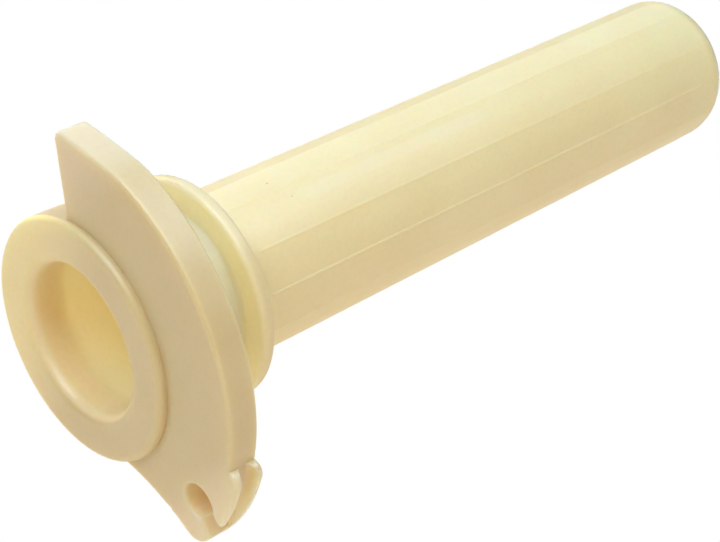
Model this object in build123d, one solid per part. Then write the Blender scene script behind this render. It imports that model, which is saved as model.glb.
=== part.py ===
"""One-piece moulded throttle tube for a 22.2 mm handlebar.

The frame: the X axis is the tube's axis, and +X points from the cable drum to the closed outer
end. The origin is where that axis crosses the flange face that the rubber grip butts against.
Angles are measured about X, from +Y (0) through +Z (90). All sizes are in millimetres.
"""
from build123d import *
from math import cos, radians, sin
import os

# Tube
tube_radius = 12.7            # at the flange
tube_end_radius = 12.4        # at the closed end, after the moulding draft
tube_end_x = 109.0
tube_end_rounding = 4.3

# Bore for the handlebar
bore_radius = 11.3
bore_mouth_rounding = 2.0
bore_floor_rounding = 3.2
end_wall = 2.0

# Flange that the grip butts against
flange_radius = 17.05
flange_thickness = 2.2
flange_rounding = 0.75
root_fillet = 0.6

# Hub ring at the open end
hub_front_x = -21.6
hub_radius = 18.24
hub_rounding = 1.1
hub_overlap = 2.0             # how far the ring covers the drum plate

# Cable drum plate with its stop wing
plate_front_x = -20.17
plate_thickness = 4.85
plate_rounding = 0.6
disc_radius = 18.2            # the plate around the hub, just inside the ring
rim_radius = 30.85
rim_flat_angle = 108.5        # the rim is nearly straight from here to the stop wing's tip
rim_flat_bow = 0.17           # how far that part bows outwards
rim_flat_rounding = 12.0
stop_angle = 84.2             # the flat face that meets the full-throttle stop
stop_tip_radius = 31.3
stop_tip_rounding = 1.3
stop_root_fillet = 0.8

# Cable lug at the end of the rim
lug_start_radius = 32.85
lug_tip_radius = 32.38
lug_start_angle = 192.3
lug_start_rounding = 1.6
lug_tip_angle = 225.8
lug_tip_rounding = 3.0
lug_waist_radius = 23.7       # the lug's hollow side passes this point halfway
lug_waist_angle = 232.7
lug_root_angle = 249.0
lug_root_fillet = 1.5

# Pocket for the cable's nipple, with a channel that lets the cable in
nipple_radius = 2.8
nipple_distance = 28.0
nipple_angle = 213.1
nipple_back_wall = 1.2
channel_width = 3.6
channel_angle = 229.0
channel_mouth_rounding = 0.45

# Slot that leads the cable onto the rim, between the lug's front tongue and its back ear
slot_floor_width = 1.9
slot_mouth_width = 2.9
slot_floor_rounding = 0.9
slot_start_angle = 185.0
slot_end_angle = 217.0

# Fine raised lines along the tube, two of them, half a turn apart, higher than the others
line_angles = [80.0, 105.0, 139.5, 168.8, 197.5, 227.8, 258.1, 288.4, 318.7, 348.8, 379.4, 409.7]
high_line_angles = [168.8, 348.8]
line_start_x = 3.5
line_end_x = 101.1
line_width = 0.5
line_height = 0.04
high_line_height = 0.1

plate_back_x = plate_front_x + plate_thickness
lug_radius = (lug_start_radius + lug_tip_radius) / 2


def polar(radius, angle):
    """A point of the YZ plane, as (y, z)."""
    return (radius * cos(radians(angle)), radius * sin(radians(angle)))


def tube_radius_at(x):
    """The drafted tube's outer radius at a distance from the flange's grip face."""
    return tube_radius + (tube_end_radius - tube_radius) * x / tube_end_x


def rounded(face, roundings):
    """The face with the corner nearest to each (a, b) point rounded to a radius."""
    for (a, b), rounding in roundings:
        corner = face.vertices().sort_by_distance((a, b, 0))[0]
        face = fillet(corner, rounding)
    return face


def turned(points, roundings):
    """A solid of revolution about X from (x, radius) points, some of them rounded."""
    profile = rounded(make_face(Polyline(*points, close=True)), roundings)
    return revolve(profile, Axis.X)


def turned_body():
    """Hub ring, tube, flange and closed end, without the bore."""
    hub_back_x = plate_front_x + hub_overlap
    flange_front_x = -flange_thickness
    hub_edge = (hub_front_x, hub_radius)
    flange_front_corner = (flange_front_x, tube_radius)
    flange_front_edge = (flange_front_x, flange_radius)
    flange_back_edge = (0, flange_radius)
    flange_back_corner = (0, tube_radius)
    end_edge = (tube_end_x, tube_end_radius)
    points = [
        (hub_front_x, 0),
        hub_edge,
        (hub_back_x, hub_radius),
        (hub_back_x, tube_radius),
        flange_front_corner,
        flange_front_edge,
        flange_back_edge,
        flange_back_corner,
        end_edge,
        (tube_end_x, 0),
    ]
    roundings = [
        (hub_edge, hub_rounding),
        (flange_front_corner, root_fillet),
        (flange_front_edge, flange_rounding),
        (flange_back_edge, flange_rounding),
        (flange_back_corner, root_fillet),
        (end_edge, tube_end_rounding),
    ]
    return turned(points, roundings)


def handlebar_bore():
    """The space that the handlebar fills, with a flared mouth."""
    floor_x = tube_end_x - end_wall
    floor_edge = (floor_x, bore_radius)
    mouth_edge = (hub_front_x, bore_radius)
    outside_x = hub_front_x - bore_mouth_rounding
    flare_radius = bore_radius + 2 * bore_mouth_rounding
    points = [
        (outside_x, 0),
        (outside_x, flare_radius),
        (hub_front_x, flare_radius),
        mouth_edge,
        floor_edge,
        (floor_x, 0),
    ]
    roundings = [(mouth_edge, bore_mouth_rounding), (floor_edge, bore_floor_rounding)]
    return turned(points, roundings)


def arc_about_axis(radius, start, end):
    """An arc of the YZ plane about the X axis, between two angles."""
    middle = polar(radius, (start + end) / 2)
    return ThreePointArc(polar(radius, start), middle, polar(radius, end))


def drum_outline():
    """The drum plate's outline: disc, stop wing and lug, as a face of the YZ plane."""
    stop_tip = polar(stop_tip_radius, stop_angle)
    stop_root = polar(disc_radius, stop_angle)
    rim_flat_end = polar(rim_radius, rim_flat_angle)
    rim_flat_middle = (Vector(*stop_tip) + Vector(*rim_flat_end)) / 2
    rim_flat_middle += rim_flat_middle.normalized() * rim_flat_bow
    rim_end = polar(rim_radius, lug_start_angle)
    lug_start = polar(lug_start_radius, lug_start_angle)
    lug_crest = polar(lug_radius, (lug_start_angle + lug_tip_angle) / 2)
    lug_tip = polar(lug_tip_radius, lug_tip_angle)
    lug_root = polar(disc_radius, lug_root_angle)
    edges = [
        Line((0, 0), stop_tip),
        ThreePointArc(stop_tip, rim_flat_middle, rim_flat_end),
        arc_about_axis(rim_radius, rim_flat_angle, lug_start_angle),
        Line(rim_end, lug_start),
        ThreePointArc(lug_start, lug_crest, lug_tip),
        ThreePointArc(lug_tip, polar(lug_waist_radius, lug_waist_angle), lug_root),
        Line(lug_root, (0, 0)),
    ]
    outline = make_face(edges) + Circle(disc_radius)
    roundings = [
        (stop_tip, stop_tip_rounding),
        (stop_root, stop_root_fillet),
        (rim_flat_end, rim_flat_rounding),
        (lug_start, lug_start_rounding),
        (lug_tip, lug_tip_rounding),
        (lug_root, lug_root_fillet),
    ]
    return rounded(outline, roundings)


def channel_side(side):
    """Where one side of the cable's channel, -1 or 1, crosses the lug's outer circle."""
    start = Vector(*polar(nipple_distance, nipple_angle))
    start += Vector(*polar(channel_width / 2, channel_angle + 90 * side))
    along = Vector(*polar(1, channel_angle))
    inward = start.dot(along)
    reach = (inward ** 2 + lug_radius ** 2 - start.length ** 2) ** 0.5 - inward
    end = start + along * reach
    return (end.X, end.Y)


def nipple_pocket():
    """The nipple's round seat and the cable's channel out to the lug's tip, in the YZ plane."""
    centre = polar(nipple_distance, nipple_angle)
    reach = lug_radius - nipple_distance + channel_width
    channel = Rectangle(reach, channel_width, align=(Align.MIN, Align.CENTER))
    return Pos(*centre) * (Circle(nipple_radius) + Rot(0, 0, channel_angle) * channel)


def cable_slot():
    """The groove between tongue and ear, whose rounded floor is flush with the rim."""
    middle_x = (plate_front_x + plate_back_x) / 2
    mouth_radius = lug_start_radius + 1
    mouth_ratio = (mouth_radius - rim_radius) / (lug_radius - rim_radius)
    floor = slot_floor_width / 2
    mouth = floor + (slot_mouth_width / 2 - floor) * mouth_ratio
    floor_corners = [(middle_x - floor, rim_radius), (middle_x + floor, rim_radius)]
    mouth_corners = [(middle_x + mouth, mouth_radius), (middle_x - mouth, mouth_radius)]
    section = make_face(Polyline(*floor_corners, *mouth_corners, close=True))
    section = rounded(section, [(corner, slot_floor_rounding) for corner in floor_corners])
    groove = revolve(section, Axis.X, slot_end_angle - slot_start_angle)
    return Rot(slot_start_angle, 0, 0) * groove


def on_x(shape, x):
    """The shape's edges that lie in the plane at x."""
    return shape.edges().filter_by_position(Axis.X, x - 0.001, x + 0.001)


def drum():
    """The cable drum plate, with its pocket, its rounded edges and its cable slot."""
    outline = drum_outline()
    mouth_roundings = [(channel_side(side), channel_mouth_rounding) for side in (-1, 1)]
    open_outline = rounded(outline - nipple_pocket(), mouth_roundings)
    open_depth = plate_thickness - nipple_back_wall
    plate = Plane.YZ.offset(plate_front_x) * extrude(open_outline, open_depth)
    plate += Plane.YZ.offset(plate_front_x + open_depth) * extrude(outline, nipple_back_wall)
    plate = fillet(on_x(plate, plate_front_x) + on_x(plate, plate_back_x), plate_rounding)
    return plate - cable_slot()


def raised_line(height):
    """A fine line along the top of the tube: a thin rod whose crown stands out of the wall."""
    rod_radius = (line_width ** 2 / 4 + height ** 2) / (2 * height)
    rod_depth = rod_radius - height
    start = Vector(line_start_x, 0, tube_radius_at(line_start_x) - rod_depth)
    end = Vector(line_end_x, 0, tube_radius_at(line_end_x) - rod_depth)
    along = end - start
    return extrude(Plane(start, z_dir=along) * Circle(rod_radius), along.length)


def raised_lines():
    """All the fine lines, two of them a little higher than the others."""
    lines = []
    for angle in line_angles:
        height = high_line_height if angle in high_line_angles else line_height
        lines.append(Rot(angle - 90, 0, 0) * raised_line(height))
    return lines


def throttle_tube():
    """The whole moulding."""
    body = turned_body() + drum()
    for line in raised_lines():
        body += line
    return body - handlebar_bore()


os.makedirs("parts", exist_ok=True)
tube = throttle_tube()
tube.label = "throttle_tube"
export_step(tube, "parts/throttle_tube.step")
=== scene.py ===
from math import cos, radians, sin

import bpy
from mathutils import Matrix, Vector


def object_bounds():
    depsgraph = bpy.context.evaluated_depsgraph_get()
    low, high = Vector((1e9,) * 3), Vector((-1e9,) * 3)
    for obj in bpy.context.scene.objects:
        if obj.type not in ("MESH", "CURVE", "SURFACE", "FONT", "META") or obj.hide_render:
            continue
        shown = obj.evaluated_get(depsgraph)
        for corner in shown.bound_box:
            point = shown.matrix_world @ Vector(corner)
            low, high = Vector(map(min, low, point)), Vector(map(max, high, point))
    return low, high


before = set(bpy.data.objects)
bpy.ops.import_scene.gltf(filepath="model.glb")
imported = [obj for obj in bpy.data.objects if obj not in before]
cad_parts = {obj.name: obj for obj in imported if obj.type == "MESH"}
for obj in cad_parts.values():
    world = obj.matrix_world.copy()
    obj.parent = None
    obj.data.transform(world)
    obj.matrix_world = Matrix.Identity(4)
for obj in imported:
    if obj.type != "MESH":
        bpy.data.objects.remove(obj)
cad_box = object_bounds()

MM = 0.001

# Camera, placed to match the photo
CAMERA_TARGET = Vector((28.979, -3.383, -8.223)) * MM
CAMERA_AZIMUTH = -43.684       # degrees, 0 looks along +Y
CAMERA_ELEVATION = 31.188
CAMERA_DISTANCE = 289.735 * MM
CAMERA_LENS = 94.12
SENSOR_WIDTH = 36.0
CLIP_START = 0.01
CLIP_END = 20.0

COOL = (0.88, 1.0, 1.18)
WARM = (1.0, 0.6, 0.2)
WHITE = (1.0, 1.0, 1.0)

# Studio lights, set so that the lit part matches the photo: name, azimuth and elevation they
# come from in degrees (0 is +X, 90 is +Y), distance and side length in metres, power in watts,
# colour
LIGHTS = [
    ("over_grip", 290, 70, 0.28, 0.20, 0.36, COOL),
    ("over_drum", 180, 60, 0.80, 0.50, 2.85, COOL),
    ("back_high", 45, 30, 0.80, 0.50, 0.68, COOL),
    ("back_near", 80, 35, 0.28, 0.20, 0.10, COOL),
    ("back_low", 90, 5, 0.80, 0.50, 3.10, WARM),
    ("front_high", 225, 60, 0.80, 0.50, 0.88, WHITE),
    ("front_fill", 212, 25, 0.80, 0.50, 0.54, WARM),
    ("side_fill", 270, 30, 0.80, 0.50, 0.46, WARM),
    ("end_high", 0, 60, 0.80, 0.50, 0.28, COOL),
    ("top", 0, 90, 0.80, 0.50, 0.25, COOL),
]
WORLD_COLOR = (0.5, 0.5, 1.0, 1)
WORLD_LEVEL = 0.1
FLOOR_COLOR = (0.80, 0.72, 0.60, 1)
FLOOR_GLOW_COLOR = (1.0, 0.9, 0.78, 1)
FLOOR_GLOW = 0.26
FLOOR_DROP = 30 * MM
FLOOR_REACH = 3.0              # metres, from the middle to each side
FLOOR_ROUGHNESS = 0.9

# Nylon's tone in each region, set to match the photo under these lights; the edge tone
# is for the stop wing and the cable lug, and the bore tone also for the nipple's seat
DRUM_COLOR = (0.74, 0.625, 0.33, 1)
EDGE_COLOR = (0.83, 0.73, 0.47, 1)
FLANGE_COLOR = (0.80, 0.69, 0.39, 1)
# Painted glow: this tone makes the tube paler than the drum, standing in for light coming through
# its thin wall
TUBE_PAINTED_GLOW_COLOR = (0.935, 0.81, 0.445, 1)
# Painted light: this tone makes the hub ring's +Y side paler, standing in for light falling on that
# side
HUB_PAINTED_LIGHT_COLOR = (0.95, 0.845, 0.43, 1)
# Painted glow: this tone makes the groove before the flange paler and warmer, standing in for light
# glowing in it
GROOVE_PAINTED_GLOW_COLOR = (0.99, 0.85, 0.54, 1)
# Painted glow: this tone makes the bore and the nipple's seat paler, standing in for light glowing
# in these hollows
BORE_PAINTED_GLOW_COLOR = (0.945, 0.80, 0.48, 1)

# Colours that the nylon is multiplied by
CLOUD_TINT = (0.975, 0.965, 0.94, 1)
STREAK_TINT = (0.985, 0.98, 0.96, 1)
MOTTLE_TINT = (0.98, 0.97, 0.94, 1)

# Colours that the nylon turns into, and how far it does
# The worn colour is partly painted highlight: with it the worn edges and the scuffed band on top of
# the tube turn paler, standing in for the highlights on them
WORN_AND_HIGHLIT_COLOR = (0.97, 0.88, 0.66, 1)
EDGE_WEAR_AND_HIGHLIGHT = 0.35
SCUFF_WEAR_AND_HIGHLIGHT = 0.3
SPECK_COLOR = (0.10, 0.07, 0.04, 1)
SPECK_STRENGTH = 0.7

# Where each region begins: the place where its tone is absent, then the place where it is full.
# These lie along the axis, measured as x
TUBE_START = (0.0, 3 * MM)
PLATE_BACK = (-16.5 * MM, -14.5 * MM)
FLANGE_FRONT = (-0.8 * MM, -2.4 * MM)
HUB_START = (-20.4 * MM, -20.8 * MM)
BORE_END = (108.4 * MM, 107.8 * MM)
# These lie out from the axis
GROOVE_RADII = (21 * MM, 14 * MM)
BORE_RADII = (12.4 * MM, 11.7 * MM)
WING_RADII = (17.5 * MM, 20 * MM)
# These lie along a direction across the axis
WING_DIRECTION = (0.0, 0.7071, 0.7071)
WING_START = (10 * MM, 20 * MM)
LUG_DIRECTION = (0.0, -0.7071, -0.7071)
LUG_START = (22 * MM, 30 * MM)
# The side of the hub ring with painted light: the direction towards it, and where the painted light
# begins
HUB_PAINTED_LIGHT_DIRECTION = (0.0, 0.95, 0.3)
HUB_PAINTED_LIGHT_START = (-4 * MM, 15 * MM)

# The lug's nipple seat: its middle across the axis, its radius, its reach in x and its soft ends
SEAT_MIDDLE = Vector((0.0, -23.456, -15.291)) * MM
SEAT_RADIUS = 3.2 * MM
SEAT_REACH = (-19.2 * MM, -16.7 * MM)
SEAT_SOFTNESS = 0.8 * MM

# The scuffed band on the tube, rougher from scuffing and paler as a painted highlight: its angles in
# degrees and its reach in x, each with its soft ends
SCUFF_ANGLES = (113.0, 120.5)
SCUFF_ANGLE_SOFTNESS = 2.5
SCUFF_REACH = (18 * MM, 50 * MM)
SCUFF_REACH_SOFTNESS = 5 * MM

# Small marks on the tube, in the frame: centre and radius
SPECKS = [
    (Vector((12.39, -1.41, 12.62)) * MM, 0.16 * MM),
    (Vector((13.70, -5.30, 11.54)) * MM, 0.13 * MM),
]

# The part of a spot's radius inside which it is full
SPOT_CORE = 0.6

# Noise patterns: scale in features per metre, detail, and the noise where each fades in
CLOUDS = (45.0, 2.0, (0.35, 0.65))
MOTTLE = (1500.0, 2.0, (0.4, 0.75))
SCRATCH_PATCHES = (130.0, 1.0, (0.5, 0.65))
# Stretched noise patterns: scale along each axis, detail, and the noise where each fades in
STREAK_SCALE = (12.0, 160.0, 160.0)
STREAK_DETAIL = 3.0
STREAK_LIMITS = (0.45, 0.75)
SCRATCH_SCALE = (140.0, 2600.0, 2600.0)
SCRATCH_DETAIL = 2.0
SCRATCH_LIMITS = (0.64, 0.72)
# Patterns that never fade out fully: noise limits, then the lowest and the highest value
WEAR_SCALE = 420.0
WEAR_DETAIL = 3.0
WEAR_RAMP = (0.38, 0.62, 0.3, 1.0)
SCUFF_RAMP = (0.3, 0.6, 0.5, 1.0)

# Edges are found by rounding the normal within a radius and seeing how far it turns: the cosine
# of that turn where an edge begins, and where it is full
EDGE_RADIUS = 0.35 * MM
EDGE_LIMITS = (0.995, 0.93)
BEVEL_SAMPLES = 6

# Roughness of the moulded surface, and what each thing adds to it
BASE_ROUGHNESS = 0.38
DRIFT_SCALE = 260.0
DRIFT_DETAIL = 3.0
DRIFT_RAMP = (0.35, 0.65, 0.0, 0.08)
WORN_ROUGHNESS = 0.12
SCRATCH_ROUGHNESS = 0.10
SCUFF_ROUGHNESS = 0.06

# Fine relief: noise scale and detail, and height
WAVES = (110.0, 1.0)
WAVE_HEIGHT = 0.030 * MM
GRAIN = (2200.0, 3.0)
GRAIN_HEIGHT = 0.006 * MM
SCRATCH_HEIGHT = 0.003 * MM

# How the plastic takes light; the spread under the surface is set for each region
REFRACTIVE_INDEX = 1.53
SPECULAR_LEVEL = 0.9
SPREAD_COLOR = (1.0, 0.8, 0.55)    # how far red, green and blue go, against each other
DRUM_SPREAD = 3.2 * MM
TUBE_SPREAD = 1.2 * MM
GROOVE_ADDED_SPREAD = 1.8 * MM
BORE_ADDED_SPREAD = 4 * MM
SEAT_ADDED_SPREAD = 2 * MM


def box_middle(box):
    low, high = Vector(box[0]), Vector(box[1])
    return (low + high) / 2


def view_direction(azimuth, elevation):
    """The direction that the camera looks along."""
    a = radians(azimuth)
    e = radians(elevation)
    return Vector((-sin(a) * cos(e), cos(a) * cos(e), -sin(e)))


def add_camera():
    forward = view_direction(CAMERA_AZIMUTH, CAMERA_ELEVATION)
    data = bpy.data.cameras.new("camera")
    data.lens = CAMERA_LENS
    data.sensor_width = SENSOR_WIDTH
    data.clip_start = CLIP_START
    data.clip_end = CLIP_END
    camera = bpy.data.objects.new("camera", data)
    camera.location = CAMERA_TARGET - forward * CAMERA_DISTANCE
    camera.rotation_euler = forward.to_track_quat("-Z", "Y").to_euler()
    bpy.context.scene.collection.objects.link(camera)
    bpy.context.scene.camera = camera


def add_light(name, azimuth, elevation, distance, side, power, color):
    """A soft square light at a direction from the part's middle, pointing at it."""
    data = bpy.data.lights.new(name, "AREA")
    data.shape = "SQUARE"
    data.size = side
    data.energy = power
    data.color = color
    light = bpy.data.objects.new(name, data)
    a = radians(azimuth)
    e = radians(elevation)
    direction = Vector((cos(a) * cos(e), sin(a) * cos(e), sin(e)))
    light.location = box_middle(cad_box) + direction * distance
    light.rotation_euler = (-direction).to_track_quat("-Z", "Y").to_euler()
    bpy.context.scene.collection.objects.link(light)


def add_floor():
    """A plain floor under the part, seen as white from above, with a slightly warm bounce."""
    middle = box_middle(cad_box)
    low = cad_box[0][2] - FLOOR_DROP
    corners = [(-1, -1), (1, -1), (1, 1), (-1, 1)]
    points = [(middle.x + a * FLOOR_REACH, middle.y + b * FLOOR_REACH, low) for a, b in corners]
    mesh = bpy.data.meshes.new("floor")
    mesh.from_pydata(points, [], [(0, 1, 2, 3)])
    floor = bpy.data.objects.new("floor", mesh)
    mesh.materials.append(floor_look())
    bpy.context.scene.collection.objects.link(floor)


def floor_look():
    """Pale and faintly glowing; the camera sees white from above and through it from below."""
    material = bpy.data.materials.new("floor_white")
    material.use_nodes = True
    n = Nodes(material)
    shader = n.nodes["Principled BSDF"]
    n.put(shader, "Base Color", FLOOR_COLOR)
    n.put(shader, "Roughness", FLOOR_ROUGHNESS)
    n.put(shader, "Emission Color", FLOOR_GLOW_COLOR)
    n.put(shader, "Emission Strength", FLOOR_GLOW)
    white = n.add("ShaderNodeEmission").outputs[0]
    clear = n.add("ShaderNodeBsdfTransparent").outputs[0]
    below = n.add("ShaderNodeNewGeometry").outputs["Backfacing"]
    seen = n.either(below, white, clear)
    camera_ray = n.add("ShaderNodeLightPath").outputs["Is Camera Ray"]
    n.put(n.nodes["Material Output"], "Surface", n.either(camera_ray, shader.outputs[0], seen))
    return material


def add_world():
    """A dim bluish surround, which the camera sees as white."""
    world = bpy.data.worlds.new("studio")
    world.use_nodes = True
    n = Nodes(world)
    dim = n.nodes["Background"]
    n.put(dim, 0, WORLD_COLOR)
    n.put(dim, 1, WORLD_LEVEL)
    white = n.add("ShaderNodeBackground")
    n.put(white, 0, (1, 1, 1, 1))
    camera_ray = n.add("ShaderNodeLightPath").outputs["Is Camera Ray"]
    n.put(n.nodes["World Output"], "Surface", n.either(camera_ray, dim.outputs[0], white.outputs[0]))
    bpy.context.scene.world = world


class Nodes:
    """Short calls that add shader nodes to one material or world."""

    def __init__(self, owner):
        self.tree = owner.node_tree
        self.nodes = self.tree.nodes

    def add(self, kind, **settings):
        """A new node with its own settings given by name; put() fills its inputs."""
        node = self.nodes.new(kind)
        for key, value in settings.items():
            setattr(node, key, value)
        return node

    def put(self, node, name, value):
        """Links an output socket to the node's input, or sets the input to a plain value."""
        socket = node.inputs[name]
        if isinstance(value, bpy.types.NodeSocket):
            self.tree.links.new(value, socket)
        else:
            socket.default_value = value

    def math(self, operation, a, b=0.0):
        node = self.add("ShaderNodeMath", operation=operation)
        self.put(node, 0, a)
        self.put(node, 1, b)
        return node.outputs[0]

    def mapped(self, point, scale):
        """The point with its three axes scaled."""
        node = self.add("ShaderNodeMapping")
        self.put(node, "Vector", point)
        self.put(node, "Scale", scale)
        return node.outputs[0]

    def noise(self, point, scale, detail):
        node = self.add("ShaderNodeTexNoise")
        self.put(node, "Vector", point)
        self.put(node, "Scale", scale)
        self.put(node, "Detail", detail)
        return node.outputs[0]

    def pattern(self, point, scale, detail, limits):
        """Noise that rises from 0 at the first limit to 1 at the second."""
        return self.ramp(self.noise(point, scale, detail), *limits)

    def ramp(self, value, low, high, to_low=0.0, to_high=1.0):
        """The value mapped smoothly from low..high to to_low..to_high."""
        node = self.add("ShaderNodeMapRange", interpolation_type="SMOOTHSTEP")
        self.put(node, "Value", value)
        self.put(node, "From Min", low)
        self.put(node, "From Max", high)
        self.put(node, "To Min", to_low)
        self.put(node, "To Max", to_high)
        return node.outputs[0]

    def axial(self, point):
        """How far along the tube's axis the point is, and how far from the axis."""
        parts = self.add("ShaderNodeSeparateXYZ")
        self.put(parts, 0, point)
        x, y, z = parts.outputs
        square = self.math("ADD", self.math("MULTIPLY", y, y), self.math("MULTIPLY", z, z))
        return x, self.math("SQRT", square)

    def window(self, value, low, high, soft):
        """1 between low and high, falling to 0 over the soft width outside them."""
        rise = self.ramp(value, low - soft, low)
        fall = self.ramp(value, high + soft, high)
        return self.math("MULTIPLY", rise, fall)

    def angle(self, point):
        """The angle about the tube's axis, in degrees: 0 at +Y, 90 at +Z."""
        parts = self.add("ShaderNodeSeparateXYZ")
        self.put(parts, 0, point)
        turn = self.math("ARCTAN2", parts.outputs[2], parts.outputs[1])
        return self.math("DEGREES", turn)

    def edges(self, radius):
        """1 on sharp edges, 0 on broad faces."""
        soft = self.add("ShaderNodeBevel", samples=BEVEL_SAMPLES)
        self.put(soft, "Radius", radius)
        true_normal = self.add("ShaderNodeNewGeometry").outputs["Normal"]
        dot = self.add("ShaderNodeVectorMath", operation="DOT_PRODUCT")
        self.put(dot, 0, soft.outputs[0])
        self.put(dot, 1, true_normal)
        return self.ramp(dot.outputs["Value"], *EDGE_LIMITS)

    def spot(self, point, middle, radius):
        """1 in the middle of a small ball, falling to 0 at its radius."""
        gap = self.add("ShaderNodeVectorMath", operation="DISTANCE")
        self.put(gap, 0, point)
        self.put(gap, 1, middle)
        return self.ramp(gap.outputs["Value"], radius, SPOT_CORE * radius)

    def bump(self, height, distance, normal=None):
        """The normal tilted by a height that goes from 0 to 1 over the distance."""
        node = self.add("ShaderNodeBump")
        self.put(node, "Height", height)
        self.put(node, "Distance", distance)
        if normal:
            self.put(node, "Normal", normal)
        return node.outputs[0]

    def plane_distance(self, point, direction):
        """How far the point is along a direction."""
        node = self.add("ShaderNodeVectorMath", operation="DOT_PRODUCT")
        self.put(node, 0, point)
        self.put(node, 1, direction)
        return node.outputs["Value"]

    def mix(self, factor, a, b):
        """Colour a, turning into colour b as factor goes from 0 to 1."""
        node = self.add("ShaderNodeMix", data_type="RGBA")
        self.put(node, 0, factor)
        self.put(node, 6, a)
        self.put(node, 7, b)
        return node.outputs[2]

    def either(self, factor, shader, other):
        """One shader where factor is 0 and the other where it is 1."""
        node = self.add("ShaderNodeMixShader")
        self.put(node, 0, factor)
        self.put(node, 1, shader)
        self.put(node, 2, other)
        return node.outputs[0]

    def tint(self, factor, color, by):
        """The colour, multiplied by a second colour as factor goes from 0 to 1."""
        node = self.add("ShaderNodeMix", data_type="RGBA", blend_type="MULTIPLY")
        self.put(node, 0, factor)
        self.put(node, 6, color)
        self.put(node, 7, by)
        return node.outputs[2]


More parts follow.
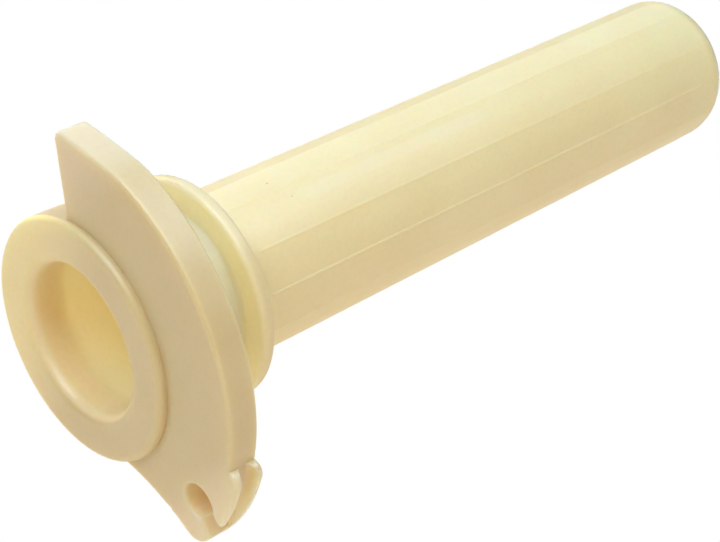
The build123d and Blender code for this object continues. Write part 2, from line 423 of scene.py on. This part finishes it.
def nylon():
    """Natural nylon: warm, satin and slightly translucent, with a tone for each region."""
    material = bpy.data.materials.new("natural_nylon_look")
    material.use_nodes = True
    shader = material.node_tree.nodes["Principled BSDF"]
    n = Nodes(material)
    point = n.add("ShaderNodeTexCoord").outputs["Object"]
    x, radius = n.axial(point)

    # Where the surface is: the grip's tube, the flange, the groove before it, the bore
    on_tube = n.ramp(x, *TUBE_START)
    past_plate = n.ramp(x, *PLATE_BACK)
    before_flange = n.ramp(x, *FLANGE_FRONT)
    near_tube = n.ramp(radius, *GROOVE_RADII)
    in_groove = n.math("MULTIPLY", n.math("MULTIPLY", past_plate, before_flange), near_tube)
    inside = n.ramp(radius, *BORE_RADII)
    before_cap = n.ramp(x, *BORE_END)
    in_bore = n.math("MULTIPLY", inside, before_cap)

    # The stop wing and the lug are paler than the rest of the drum
    up = n.plane_distance(point, WING_DIRECTION)
    down = n.plane_distance(point, LUG_DIRECTION)
    in_wing = n.math("MULTIPLY", n.ramp(up, *WING_START), n.ramp(radius, *WING_RADII))
    in_lug = n.ramp(down, *LUG_START)
    color = n.mix(n.math("MAXIMUM", in_wing, in_lug), DRUM_COLOR, EDGE_COLOR)
    color = n.mix(past_plate, color, FLANGE_COLOR)
    # The tube is paler than the drum: painted glow, standing in for light coming through its thin
    # wall
    color = n.mix(on_tube, color, TUBE_PAINTED_GLOW_COLOR)
    # The groove is paler and warmer: painted glow of light caught in the narrow groove
    color = n.mix(in_groove, color, GROOVE_PAINTED_GLOW_COLOR)

    # Painted light: the hub's ring is paler on its +Y side, standing in for light falling on that
    # side; the nipple's seat and the bore are paler too, painted glow in these hollows
    on_hub = n.ramp(x, *HUB_START)
    painted_light_side = n.ramp(n.plane_distance(point, HUB_PAINTED_LIGHT_DIRECTION), *HUB_PAINTED_LIGHT_START)
    color = n.mix(n.math("MULTIPLY", on_hub, painted_light_side), color, HUB_PAINTED_LIGHT_COLOR)
    flat_point = n.mapped(point, (0.0, 1.0, 1.0))
    seat_circle = n.spot(flat_point, SEAT_MIDDLE, SEAT_RADIUS)
    in_seat = n.math("MULTIPLY", seat_circle, n.window(x, *SEAT_REACH, SEAT_SOFTNESS))
    color = n.mix(in_seat, color, BORE_PAINTED_GLOW_COLOR)
    color = n.mix(in_bore, color, BORE_PAINTED_GLOW_COLOR)

    # Colour: slow cloudiness, streaks along the flow and fine mottling
    streaks = n.noise(n.mapped(point, STREAK_SCALE), 1.0, STREAK_DETAIL)
    color = n.tint(n.pattern(point, *CLOUDS), color, CLOUD_TINT)
    color = n.tint(n.ramp(streaks, *STREAK_LIMITS), color, STREAK_TINT)
    color = n.tint(n.pattern(point, *MOTTLE), color, MOTTLE_TINT)

    # Wear and painted highlight: edges rougher from wear and paler as a painted highlight, fine
    # scratches, and a band on top of the tube, rougher from scuffing and paler as a painted
    # highlight
    patchy = n.ramp(n.noise(point, WEAR_SCALE, WEAR_DETAIL), *WEAR_RAMP)
    worn_and_highlit = n.math("MULTIPLY", n.edges(EDGE_RADIUS), patchy)
    color = n.mix(n.math("MULTIPLY", worn_and_highlit, EDGE_WEAR_AND_HIGHLIGHT), color, WORN_AND_HIGHLIT_COLOR)
    hairs = n.pattern(n.mapped(point, SCRATCH_SCALE), 1.0, SCRATCH_DETAIL, SCRATCH_LIMITS)
    scratches = n.math("MULTIPLY", hairs, n.pattern(point, *SCRATCH_PATCHES))
    around = n.window(n.angle(point), *SCUFF_ANGLES, SCUFF_ANGLE_SOFTNESS)
    along = n.window(x, *SCUFF_REACH, SCUFF_REACH_SOFTNESS)
    band = n.math("MULTIPLY", around, along)
    scuffs_and_highlight = n.math("MULTIPLY", band, n.ramp(streaks, *SCUFF_RAMP))
    color = n.mix(n.math("MULTIPLY", scuffs_and_highlight, SCUFF_WEAR_AND_HIGHLIGHT), color, WORN_AND_HIGHLIT_COLOR)

    # Two dark specks in the plastic
    for middle, size in SPECKS:
        speck = n.math("MULTIPLY", n.spot(point, middle, size), SPECK_STRENGTH)
        color = n.mix(speck, color, SPECK_COLOR)

    # Satin: roughness drifts slowly, and is higher where the plastic is worn
    drift = n.ramp(n.noise(point, DRIFT_SCALE, DRIFT_DETAIL), *DRIFT_RAMP)
    roughness = n.math("ADD", BASE_ROUGHNESS, drift)
    roughness = n.math("ADD", roughness, n.math("MULTIPLY", worn_and_highlit, WORN_ROUGHNESS))
    roughness = n.math("ADD", roughness, n.math("MULTIPLY", scratches, SCRATCH_ROUGHNESS))
    roughness = n.math("ADD", roughness, n.math("MULTIPLY", scuffs_and_highlight, SCUFF_ROUGHNESS))

    # Relief: faint sink-like waviness, mould grain and scratches
    normal = n.bump(n.noise(point, *WAVES), WAVE_HEIGHT)
    normal = n.bump(n.noise(point, *GRAIN), GRAIN_HEIGHT, normal)
    normal = n.bump(n.math("SUBTRACT", 1.0, scratches), SCRATCH_HEIGHT, normal)

    # How far light spreads under the surface
    spread = n.ramp(on_tube, 0.0, 1.0, DRUM_SPREAD, TUBE_SPREAD)
    spread = n.math("ADD", spread, n.math("MULTIPLY", in_groove, GROOVE_ADDED_SPREAD))
    spread = n.math("ADD", spread, n.math("MULTIPLY", in_bore, BORE_ADDED_SPREAD))
    spread = n.math("ADD", spread, n.math("MULTIPLY", in_seat, SEAT_ADDED_SPREAD))

    n.put(shader, "Base Color", color)
    n.put(shader, "Roughness", roughness)
    n.put(shader, "Normal", normal)
    n.put(shader, "IOR", REFRACTIVE_INDEX)
    n.put(shader, "Specular IOR Level", SPECULAR_LEVEL)
    n.put(shader, "Subsurface Weight", 1.0)
    n.put(shader, "Subsurface Radius", SPREAD_COLOR)
    n.put(shader, "Subsurface Scale", spread)
    return material


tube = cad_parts["throttle_tube"]
for slot in tube.material_slots:
    slot.material = nylon()
bpy.context.scene.view_settings.view_transform = "Standard"
add_camera()
add_world()
add_floor()
for settings in LIGHTS:
    add_light(*settings)
